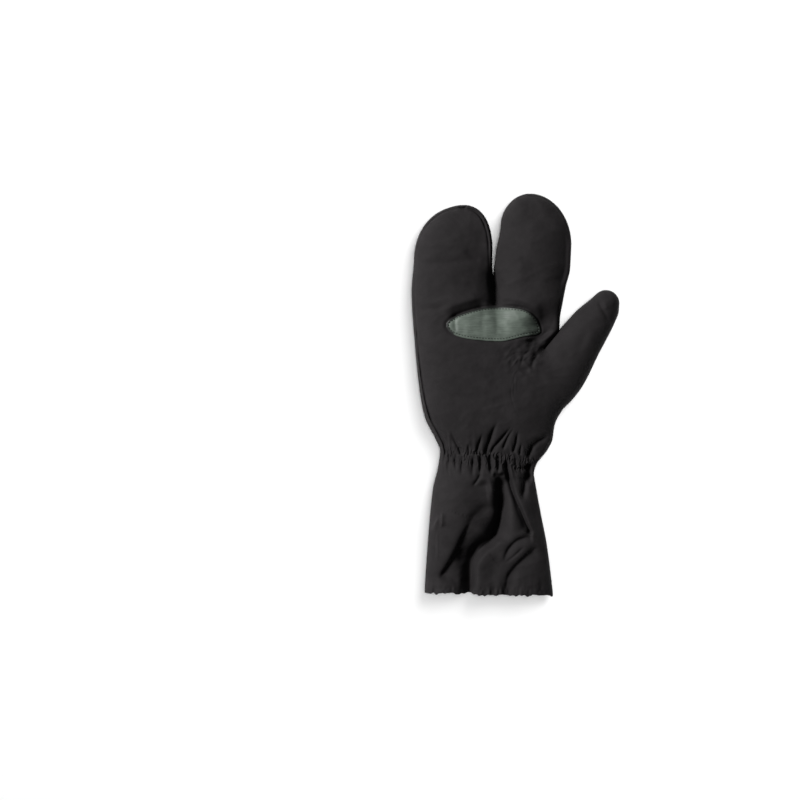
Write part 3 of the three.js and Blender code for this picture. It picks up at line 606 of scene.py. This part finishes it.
class Cloth:
    """Heights of the upper or lower cloth at a set of points."""

    def __init__(self, x, y):
        self.x, self.y = x, y
        away = {name: np.abs(along_line(x, y, line)[0]) for name, line in EDGES.items()}
        self.nearest = np.minimum.reduce(list(away.values()))
        self.seams = np.zeros(x.shape)
        for name, rows in SEAM_EDGES.items():
            past = away[name] - through(rows, "inside")(y)
            groove = through(rows, "groove")(y) * (1 + 0.4 * noise(y, x * 0, 9, 5, 52))
            self.seams -= groove * bell(past / GROOVE_WIDTH)
            self.seams += LIP["share"] * groove * bell((past + LIP["past"]) / LIP["width"])
            away[name] = away[name] - through(rows, "wide")(y)
        total = sum(np.maximum(d, 0.02) ** -2 for d in away.values())
        self.inside = total**-0.5
        stiff = smooth((y - RAISED["from"]) / RAISED["over"])
        from_slit = away["outer_lobe_inner"]
        self.raised = RAISED["by"] * stiff * bell(from_slit / RAISED["reach"])
        along = bell((y - SLIT_DIP["y"]) / SLIT_DIP["over"])
        self.raised -= SLIT_DIP["by"] * bell(from_slit / SLIT_DIP["reach"]) * along
        self.seam_level = seam_height(y) + self.raised

    def rounded(self, reach):
        left = 1 - np.minimum(self.inside / reach, 1)
        return np.sqrt(1 - left * left)

    def upper(self):
        x, y = self.x, self.y
        calm = smooth(self.inside / CALM_UPPER)
        seam, _ = along_line(x, y, seam_line)
        loose = gathers(x, y) + fold_height(x, y, CUFF_FOLDS) + fold_height(x, y, HAND_FOLDS)
        loose += crumple(x, y) + puckers(x, y) + hem_crimp(x, y) + patch_press(x, y)
        wavy = 1 + 0.8 * noise(x, y, 6, 6, 51)
        loose -= THUMB_SEAM_GROOVE * wavy * bell(seam / GROOVE_WIDTH)
        dome = (crown_height(y) - self.raised) * self.rounded(EDGE_ROUND)
        height = self.seam_level + dome + loose * calm
        height = (height + LOWEST + np.sqrt((height - LOWEST) ** 2 + LOWEST_SOFT**2)) / 2
        height += self.seams * smooth(self.nearest / 1.2)
        edge = 0.3 * noise(x, y, 6, 6, 53) * np.exp(-self.inside / 5) * smooth(self.inside / 1.5)
        return height + edge

    def lower(self):
        x, y = self.x, self.y
        calm = smooth(self.inside / CALM_LOWER)
        _, above = across_wrist(x, y)
        crimp = np.maximum(gathers(x, y), 0) * bell(above / LOWER_CRIMP_REACH)
        slack = 0.5 * np.maximum(noise(x, y, 26, 20, 61), 0) + 0.35 * np.maximum(noise(x, y, 12, 16, 62), 0)
        valley = smooth(-fold_height(x, y, CUFF_FOLDS[:2]) / VALLEY_DEPTH)
        loose = (LOWER_CRIMP * crimp + slack + LOWER_VALLEY * valley) * calm
        return self.seam_level * (1 - self.rounded(FLOOR_ROUND)) + loose


# Rows and columns of cloth
def crowded(count):
    f = even(count)
    return (f + (1 - np.cos(f * math.pi)) / 2) / 2


def tilted_row(left, right, y, fractions):
    """A row of points from one edge to the other, with its left end lifted by the row's tilt."""
    high = y + tilt_at(y)
    start = np.array([float(left(high)), float(high)])
    end = np.array([float(right(y)), y]) if callable(right) else np.asarray(right)
    return start + (end - start) * fractions[:, None]


def level_row(left, right, y, fractions):
    a, b = float(left(y)), float(right(y))
    return np.stack([a + (b - a) * fractions, np.full(len(fractions), y)], -1)


def tip_stations(top, rise, steps):
    """Heights of the rows in a rounded tip, closer together towards its top."""
    return top - rise + rise * np.sin(np.radians(np.linspace(0, TIP_DEGREES, steps + 1)))


def hand_grids(columns, thumb_columns, rows):
    """The heel below the thumb seam, the palm beside it, and the two finger lobes."""
    left, right = float(little_side(FINGER_CROTCH[1])), float(index_lobe_outer(FINGER_CROTCH[1]))
    split = (FINGER_CROTCH[0] - left) / (right - left)
    lobe_fractions = crowded(columns)
    fractions = np.concatenate([lobe_fractions * split, split + (1 - split) * lobe_fractions[1:]])

    def seam_row(along):
        end = thumb_seam_at(along)
        if along == 1:
            end[0] = index_lobe_outer(end[1])
        return tilted_row(little_side, end, float(end[1]), fractions)

    heel_top = np.vstack([seam_row(SEAM_FAN), thumb_seam_at(SEAM_FAN * (1 - crowded(thumb_columns)[1:]))])
    beside_seam = np.linspace(HEEL_SHARE, 1, thumb_columns + 1)[1:]
    heel_fractions = np.concatenate([fractions * HEEL_SHARE, beside_seam])
    heel_low = tilted_row(little_side, thumb_side, WRIST_TOP, heel_fractions)
    heel = [heel_low + (heel_top - heel_low) * up for up in even(rows["heel"])]
    for row in heel:
        row[0, 0] = little_side(row[0, 1])
        row[-1, 0] = thumb_side(row[-1, 1])
    palm = [seam_row(along) for along in np.linspace(SEAM_FAN, 1, rows["palm"] + 1)]
    for y in np.linspace(THUMB_CROTCH[1], FINGER_CROTCH[1], rows["knuckles"] + 1)[1:]:
        palm.append(tilted_row(little_side, index_lobe_outer, y, fractions))

    def lobe(left_edge, right_edge, tip, rise):
        stations = np.concatenate([
            np.linspace(FINGER_CROTCH[1], tip["y"] - rise, rows["lobe"] + 1)[:-1],
            tip_stations(tip["y"], rise, rows["tip"]),
        ])
        return [level_row(left_edge, right_edge, y, lobe_fractions) for y in stations]

    outer = lobe(little_side, outer_lobe_inner, TIPS["outer"], TIPS["outer"]["left"][1])
    index = lobe(index_lobe_inner, index_lobe_outer, TIPS["index"], TIPS["index"]["right"][1])
    return [heel, palm, outer, index]


def thumb_grids(columns, rows):
    """The thumb's rows fan out from the low part of its seam to its tip."""
    fractions = crowded(columns)
    low_y = float(thumb_seam_at(0)[1])
    low_side = np.array([float(thumb_side(low_y)), low_y])
    low_row = thumb_seam_at(SEAM_FAN * (1 - fractions))
    low_row[-1] = low_side
    low_level = low_row[0] + (low_side - low_row[0]) * fractions[:, None]
    grid = []
    for up in even(rows["base"]):
        start = thumb_seam_at(SEAM_FAN + (1 - SEAM_FAN) * up)
        y = low_y + (THUMB_CROTCH[1] - low_y) * up
        end = np.array([float(thumb_side(y)), y])
        level = start + (end - start) * fractions[:, None]
        grid.append(level + (1 - up) ** 2 * (low_row - low_level))
    free = np.concatenate([
        np.linspace(THUMB_CROTCH[1], THUMB_TIP[1], rows["free"] + 1)[1:],
        tip_stations(THUMB_TOP, THUMB_TIP_RADIUS, rows["tip"])[1:],
    ])
    return [grid + [level_row(thumb_inner, thumb_side, y, fractions) for y in free]]


def band_grids(low, high, steps):
    """Rows across the whole width between two heights, with a number of rows and columns of quads."""
    rows, columns = steps
    stations = np.linspace(low, high, rows // FINE + 1)
    return [[tilted_row(little_side, thumb_side, y, even(columns // FINE)) for y in stations]]


def hem_grids(steps):
    """The hem's rows, of which the lowest ones follow its wavy edge."""
    grid = band_grids(HEM_LOW, HEM_TOP, steps)[0]
    rows = len(grid) - 1
    drop = hem_drop(even(len(grid[0]) - 1))
    for i, row in enumerate(grid):
        row[:, 1] -= drop * (1 - i / rows) ** 2
    return [grid]


def join_grids(grids):
    """Joins grids of points into one sheet of quads: points shared by two grids are one point."""
    stacks = [np.array(grid) for grid in grids]
    points = np.vstack([stack.reshape(-1, 2) for stack in stacks])
    _, first, index = np.unique(np.round(points, 3), axis=0, return_index=True, return_inverse=True)
    index = index.ravel()
    quads = []
    offset = 0
    for stack in stacks:
        rows, columns = stack.shape[:2]
        at = offset + np.arange(rows * columns).reshape(rows, columns)
        corners = [at[:-1, :-1], at[:-1, 1:], at[1:, 1:], at[1:, :-1]]
        quads.append(np.stack([index[c].ravel() for c in corners], -1))
        offset += rows * columns
    return points[first], np.vstack(quads)


def as_faces(quads):
    """Quads as lists, with any that has two corners in one place made a triangle."""
    faces = []
    for quad in quads.tolist():
        face = [v for i, v in enumerate(quad) if v != quad[i - 1]]
        if len(set(face)) >= 3:
            faces.append(face)
    return faces


def border_of(faces):
    directed = {(a, b) for face in faces for a, b in zip(face, face[1:] + face[:1])}
    return [(a, b) for a, b in directed if (b, a) not in directed]


def sheet_normals(points, quads):
    a, b, c, d = (points[quads[:, k]] for k in range(4))
    normal = np.cross(c - a, d - b)
    total = np.zeros_like(points)
    for k in range(4):
        np.add.at(total, quads[:, k], normal)
    return unit(total)


SHARP = math.radians(62)


def make_mesh(name, points, faces, material):
    mesh = bpy.data.meshes.new(name)
    mesh.from_pydata((points * MM).tolist(), [], faces)
    mesh.validate()
    mesh.polygons.foreach_set("use_smooth", np.ones(len(mesh.polygons), bool))
    mesh.set_sharp_from_angle(angle=SHARP)
    mesh.materials.append(material)
    piece = bpy.data.objects.new(name, mesh)
    scene.collection.objects.link(piece)
    return piece


def closed_shell(faces, border, count):
    """The faces of an outer sheet, of an inner one with the points that follow, and of a rim between."""
    back = [[v + count for v in reversed(face)] for face in faces]
    rim = [[b, a, a + count, b + count] for a, b in border]
    return faces + back + rim


SEWN_WITHIN = 0.9
SEAM_APART = 0.05


def cloth_wall(name, grids, side, wall, material):
    """A panel of cloth: an outer and an inner face closed by a rim all round."""
    flat, quads = join_grids(grids)
    cloth = Cloth(flat[:, 0], flat[:, 1])
    height = cloth.upper() if side > 0 else cloth.lower()
    faces = as_faces(quads)
    border = border_of(faces)
    on_border = np.zeros(len(flat), bool)
    on_border[[a for a, _ in border]] = True
    sewn = on_border & (cloth.nearest < SEWN_WITHIN)
    height[sewn] = cloth.seam_level[sewn] + side * SEAM_APART
    outer = np.column_stack([flat, height])
    normal = sheet_normals(outer, quads) * side
    outward = np.zeros((len(flat), 2))
    for a, b in border:
        dx, dy = flat[b] - flat[a]
        for end in (a, b):
            outward[end] += (dy, -dx)
    outward = unit(outward)
    normal[sewn, :2] = outward[sewn]
    normal[sewn, 2] = 0
    cut = on_border & ~sewn
    lean = np.sum(normal[cut, :2] * outward[cut], axis=1, keepdims=True)
    normal[cut, :2] -= lean * outward[cut]
    normal[cut] = unit(normal[cut])
    inner = outer - wall * normal
    shell = closed_shell(faces, border, len(flat))
    if side < 0:
        shell = [face[::-1] for face in shell]
    return make_mesh(name, np.vstack([outer, inner]), shell, material)


def heights_at(points):
    return Cloth(points[:, 0], points[:, 1]).upper()


PATCH_LIFT = 0.25
STITCH_INSET = 2.0
# How the patch swells from its edge inwards, with a groove under its stitches
EDGE_SWELL = {"by": 0.35, "over": 1.2}
MIDDLE_SWELL = {"by": 0.25, "from": 2.5, "over": 3}
STITCH_GROOVE = {"by": 0.4, "half": 0.6}
# Painted shade: along its upper edge and at its left end the patch's rim outside this inset is coloured dark,
# for the shade of the bulging cloth above it
PAINTED_RIM_SHADE = {"inset": 1.1, "fade": 0.9, "end_x": -54, "end_fade": 3, "upper_fade": 5}


def patch_piece(material, length_steps, width_steps):
    """The patch follows the palm, with a groove under its stitching and a rounded edge."""
    along = PATCH_FROM + (PATCH_TO - PATCH_FROM) * crowded(length_steps)
    up = crowded(width_steps)[:, None]
    rows = patch_near(along) + (patch_far(along) - patch_near(along)) * up
    flat, quads = join_grids([np.stack([np.broadcast_to(along, rows.shape), rows], -1)])
    x, y = flat.T
    base = heights_at(flat) + PATCH_LIFT
    inside = np.abs(in_patch(x, y))
    swell = EDGE_SWELL["by"] * smooth(inside / EDGE_SWELL["over"])
    swell += MIDDLE_SWELL["by"] * smooth((inside - MIDDLE_SWELL["from"]) / MIDDLE_SWELL["over"])
    swell -= STITCH_GROOVE["by"] * bell((inside - STITCH_INSET) / STITCH_GROOVE["half"])
    swell += 0.12 * noise(x, y, 5, 4, 71)
    outer = np.column_stack([flat, base + PATCH_WALL + swell])
    inner = np.column_stack([flat, base])
    faces = as_faces(quads)
    shell = closed_shell(faces, border_of(faces), len(flat))
    piece = make_mesh("grip_patch_cloth", np.vstack([outer, inner]), shell, material)
    # Painted shade: the rim along the upper edge and at the left end gets the dark rim colour, for the shade
    # cast by the bulging cloth above
    upper = (y - (patch_far(x) + patch_near(x)) / 2) / PAINTED_RIM_SHADE["upper_fade"]
    at_end = smooth((PAINTED_RIM_SHADE["end_x"] - x) / PAINTED_RIM_SHADE["end_fade"])
    in_rim = 1 - smooth((inside - PAINTED_RIM_SHADE["inset"]) / PAINTED_RIM_SHADE["fade"])
    out_of_painted_shade = 1 - smooth(np.maximum(upper + 0.4, at_end)) * in_rim
    piece.data.attributes.new("out_of_painted_shade", "FLOAT", "POINT").data.foreach_set("value", np.tile(out_of_painted_shade, 2))
    return piece


def inset_line(ring, inset):
    """A ring of points moved inwards, for a ring that runs anticlockwise."""
    along = unit(np.roll(ring, -3, axis=0) - np.roll(ring, 3, axis=0))
    return ring + inset * np.stack([-along[:, 1], along[:, 0]], -1)


STITCH = {"pitch": 2.6, "length": 1.7, "radius": 0.26, "arch": 0.25, "lift": 0.1}
STITCH_SIDES = 6
STITCH_STATIONS = 7


def stitches(name, line, lift, material):
    """Thread showing as one short rounded stitch after another along a line on the palm."""
    closed = np.vstack([line, line[:1]])
    run = run_of(closed)
    count = int(run[-1] // STITCH["pitch"])
    middles = (np.arange(count) + 0.5) * run[-1] / count
    ring = np.linspace(0, 2 * math.pi, STITCH_SIDES, endpoint=False)
    stations = np.linspace(-1, 1, STITCH_STATIONS)
    at = middles[:, None] + stations * STITCH["length"] / 2
    spots = points_at(closed, run, at % run[-1])
    x, y = spots[..., 0], spots[..., 1]
    z = heights_at(spots.reshape(-1, 2)).reshape(x.shape) + lift
    points, faces = [], []
    for s in range(count):
        along = np.array([x[s, -1] - x[s, 0], y[s, -1] - y[s, 0]])
        along /= np.linalg.norm(along)
        first = len(points)
        for k, t in enumerate(stations):
            r = STITCH["radius"] * math.sqrt(max(1 - abs(t) ** 3, 0.04))
            middle = z[s, k] + STITCH["arch"] * (1 - t * t)
            for angle in ring:
                aside = r * math.cos(angle)
                across = (x[s, k] - along[1] * aside, y[s, k] + along[0] * aside)
                points.append((*across, middle + r * math.sin(angle)))
        last = len(points) - STITCH_SIDES
        for start in range(first, last, STITCH_SIDES):
            for j in range(STITCH_SIDES):
                a, b = start + j, start + (j + 1) % STITCH_SIDES
                faces.append([a, b, b + STITCH_SIDES, a + STITCH_SIDES])
        faces.append([first + j for j in reversed(range(STITCH_SIDES))])
        faces.append([last + j for j in range(STITCH_SIDES)])
    return make_mesh(name, np.array(points), faces, material)


# Materials
def shader_nodes(name):
    material = bpy.data.materials.new(name)
    material.use_nodes = True
    nodes = material.node_tree.nodes
    return material, nodes, nodes["Principled BSDF"]


def set_values(node, **values):
    """Sets some of a node's inputs or settings, given by name."""
    for key, value in values.items():
        if key in node.inputs:
            node.inputs[key].default_value = value
        else:
            setattr(node, key, value)
    return node


def add(nodes, kind, **values):
    return set_values(nodes.new("ShaderNode" + kind), **values)


def link(source, output, target, into):
    source.id_data.links.new(source.outputs[output], target.inputs[into])


def ramp(nodes, stops):
    node = add(nodes, "ValToRGB")
    while len(node.color_ramp.elements) < len(stops):
        node.color_ramp.elements.new(0.5)
    for element, (position, colour) in zip(node.color_ramp.elements, stops):
        element.position = position
        element.color = (*colour, 1)
    return node


WEAVE = {"Scale": 800.0, "Distortion": 0.6, "Detail": 1.0}


def shell_material(name, dark, light):
    """Black nylon with a coating: a fine plain weave, faint marks and a satin face."""
    material, nodes, shader = shader_nodes(name)
    place = add(nodes, "TexCoord")
    cloud = add(nodes, "TexNoise", Scale=70.0, Detail=5.0, Roughness=0.65)
    colour = ramp(nodes, [(0.3, dark), (0.72, light)])
    rough = add(nodes, "MapRange", **{"To Min": 0.7, "To Max": 0.85})
    link(cloud, "Fac", colour, "Fac")
    link(cloud, "Fac", rough, "Value")
    link(colour, "Color", shader, "Base Color")
    link(rough, "Result", shader, "Roughness")
    warp = add(nodes, "TexWave", **WEAVE)
    weft = add(nodes, "TexWave", bands_direction="Y", **WEAVE)
    weave = add(nodes, "Math", operation="ADD")
    grain = add(nodes, "TexNoise", Scale=900.0, Detail=3.0, Roughness=0.7)
    both = add(nodes, "Math", operation="ADD")
    for source in (cloud, warp, weft, grain):
        link(place, "Object", source, "Vector")
    link(warp, "Fac", weave, 0)
    link(weft, "Fac", weave, 1)
    link(weave, "Value", both, 0)
    link(grain, "Fac", both, 1)
    bump = add(nodes, "Bump", Strength=0.12, Distance=0.00012)
    link(both, "Value", bump, "Height")
    link(bump, "Normal", shader, "Normal")
    set_values(shader, **{"Specular IOR Level": 0.14})
    return material


def patch_material(name):
    """Grey-green grip cloth with a fine grain along its length, and painted shade darkening its rim along the
    upper edge and left end.
    """
    material, nodes, shader = shader_nodes(name)
    place = add(nodes, "TexCoord")
    stretch = add(nodes, "Mapping", Scale=(90, 900, 200))
    grain = add(nodes, "TexNoise", Scale=1.0, Detail=4.0, Roughness=0.65)
    cloud = add(nodes, "TexNoise", Scale=90.0, Detail=3.0)
    mixed = add(nodes, "Math", operation="MULTIPLY_ADD")
    mixed.inputs[1].default_value = 0.5
    colour = ramp(nodes, [
        (0.35, (0.109, 0.133, 0.112)), (0.62, (0.174, 0.21, 0.178)), (0.85, (0.225, 0.266, 0.229)),
    ])
    link(place, "Object", stretch, "Vector")
    link(stretch, "Vector", grain, "Vector")
    link(place, "Object", cloud, "Vector")
    link(cloud, "Fac", mixed, 0)
    half = add(nodes, "Math", operation="MULTIPLY")
    half.inputs[1].default_value = 0.55
    link(grain, "Fac", half, 0)
    link(half, "Value", mixed, 2)
    link(mixed, "Value", colour, "Fac")
    out_of_painted_shade = add(nodes, "Attribute", attribute_name="out_of_painted_shade")
    # Painted shade: a near-black colour mixed over the patch's rim where the cloth above shades it
    rim = add(nodes, "MixRGB", Color1=(0.026, 0.028, 0.026, 1))
    link(out_of_painted_shade, "Fac", rim, "Fac")
    link(colour, "Color", rim, "Color2")
    link(rim, "Color", shader, "Base Color")
    bump = add(nodes, "Bump", Strength=0.35, Distance=0.0003)
    link(grain, "Fac", bump, "Height")
    link(bump, "Normal", shader, "Normal")
    set_values(shader, **{"Roughness": 0.52, "Specular IOR Level": 0.4})
    return material


def thread_material(name, colour):
    """Thread with a fine slanting twist."""
    material, nodes, shader = shader_nodes(name)
    place = add(nodes, "TexCoord")
    twist = add(nodes, "TexWave", Scale=900.0, Distortion=1.0, bands_direction="DIAGONAL")
    tint = ramp(nodes, [(0, tuple(0.6 * c for c in colour)), (1, colour)])
    link(place, "Object", twist, "Vector")
    link(twist, "Fac", tint, "Fac")
    link(tint, "Color", shader, "Base Color")
    set_values(shader, Roughness=0.6)
    return material


shell_cloth = shell_material("shell_cloth", (0.0235, 0.0214, 0.0224), (0.0335, 0.0307, 0.032))
patch_cloth = patch_material("patch_cloth")
dark_thread = thread_material("dark_thread", (0.012, 0.013, 0.012))

# Pieces, with rows and columns of quads for the upper cloth and fewer for the lower cloth
HAND_ROWS = {"heel": 44, "palm": 84, "knuckles": 48, "lobe": 50, "tip": 56}
HAND_COLUMNS = 72
THUMB_ROWS = {"base": 84, "free": 52, "tip": 18}
THUMB_COLUMNS = 56
BAND_STEPS = [(34, 216), (18, 120)]
CUFF_STEPS = [(136, 150), (66, 72)]
HEM_STEPS = [(16, 220), (8, 120)]
PATCH_STEPS = (120, 44)


def hand(by):
    rows = {name: count // by for name, count in HAND_ROWS.items()}
    return hand_grids(HAND_COLUMNS // by, THUMB_COLUMNS // by, rows)


def thumb(by):
    return thumb_grids(THUMB_COLUMNS // by, {name: count // by for name, count in THUMB_ROWS.items()})


def walls(names, grids, wall=WALL):
    """The upper and the lower wall of one part of the mitt."""
    rows = zip(names, grids, (1, -1))
    return [cloth_wall(name, grid, side, wall, shell_cloth) for name, grid, side in rows]


palm, back = walls(["palm_cloth", "back_cloth"], [hand(FINE), hand(2 * FINE)])
thumb_front, thumb_back = walls(["thumb_front_cloth", "thumb_back_cloth"], [thumb(FINE), thumb(2 * FINE)])
band_front, band_back = walls(
    ["wrist_gathers_front", "wrist_gathers_back"],
    [band_grids(WRIST_LOW, WRIST_TOP, steps) for steps in BAND_STEPS],
)
cuff_front, cuff_back = walls(
    ["cuff_front_cloth", "cuff_back_cloth"], [band_grids(HEM_TOP, WRIST_LOW, steps) for steps in CUFF_STEPS],
)
hem_front, hem_back = walls(
    ["hem_front_cloth", "hem_back_cloth"], [hem_grids(steps) for steps in HEM_STEPS], HEM_WALL,
)
patch = patch_piece(patch_cloth, PATCH_STEPS[0] // FINE, PATCH_STEPS[1] // FINE)
stitch_line = inset_line(patch_border(300), STITCH_INSET)
patch_thread = stitches("patch_stitching", stitch_line, PATCH_LIFT + PATCH_WALL + STITCH["lift"], dark_thread)

STANDS_FOR = {
    "palm_panel": palm, "back_panel": back, "thumb_front": thumb_front, "thumb_back": thumb_back,
    "wrist_band_front": band_front, "wrist_band_back": band_back, "cuff_front": cuff_front,
    "cuff_back": cuff_back, "hem_front": hem_front, "hem_back": hem_back, "grip_patch": patch,
}
for node, piece in STANDS_FOR.items():
    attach(piece, "root")
    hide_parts(node)
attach(patch_thread, "root")

# Floor, light and camera
FLOOR_HALF = 4.0
floor_corners = [(FLOOR_HALF * a, FLOOR_HALF * b, 0) for a, b in [(-1, -1), (1, -1), (1, 1), (-1, 1)]]
floor_mesh = bpy.data.meshes.new("floor")
floor_mesh.from_pydata(floor_corners, [], [(0, 1, 2, 3)])
floor = bpy.data.objects.new("floor", floor_mesh)
scene.collection.objects.link(floor)
floor_material, _, floor_shader = shader_nodes("floor")
floor_look = {"Base Color": (0.93, 0.93, 0.93, 1), "Roughness": 0.9, "Specular IOR Level": 0.1}
set_values(floor_shader, **floor_look)
floor_mesh.materials.append(floor_material)


def area_light(name, place, size, power, lit):
    """A soft round light aimed at the mitt, which lights only the things given. Power is in watts."""
    data = bpy.data.lights.new(name, "AREA")
    data.shape = "DISK"
    data.size = size
    data.energy = power
    light = bpy.data.objects.new(name, data)
    light.location = place
    light.rotation_euler = (-Vector(place)).to_track_quat("-Z", "Y").to_euler()
    scene.collection.objects.link(light)
    receivers = bpy.data.collections.new(name + "_lights")
    for thing in lit:
        receivers.objects.link(thing)
    light.light_linking.receiver_collection = receivers


# The floor is lit apart from the mitt, so that it stays white while the black cloth gets a low key light
area_light("floor_key", (1.8, 2.1, 2.8), 2.6, 100, [floor])
area_light("floor_fill", (-0.2, -0.2, 3.2), 4.0, 50, [floor])
area_light("floor_top", (-0.02, 0.1, 3.2), 0.8, 40, [floor])
area_light("cloth_key", (-1.75, 0.9, 1.75), 0.9, 69, [*STANDS_FOR.values(), patch_thread])

world = bpy.data.worlds.new("studio")
scene.world = world
world.use_nodes = True
set_values(world.node_tree.nodes["Background"], Color=(1, 1, 1, 1), Strength=0.05)
world.cycles_visibility.glossy = False
scene.view_settings.view_transform = "Standard"

PHOTO_CENTRE = (-0.103, -0.0045)
CAMERA_HEIGHT = 1.695
camera_data = bpy.data.cameras.new("camera")
camera_data.lens = 85
camera_data.sensor_width = 36
camera = bpy.data.objects.new("camera", camera_data)
camera.location = (*PHOTO_CENTRE, CAMERA_HEIGHT)
scene.collection.objects.link(camera)
scene.camera = camera
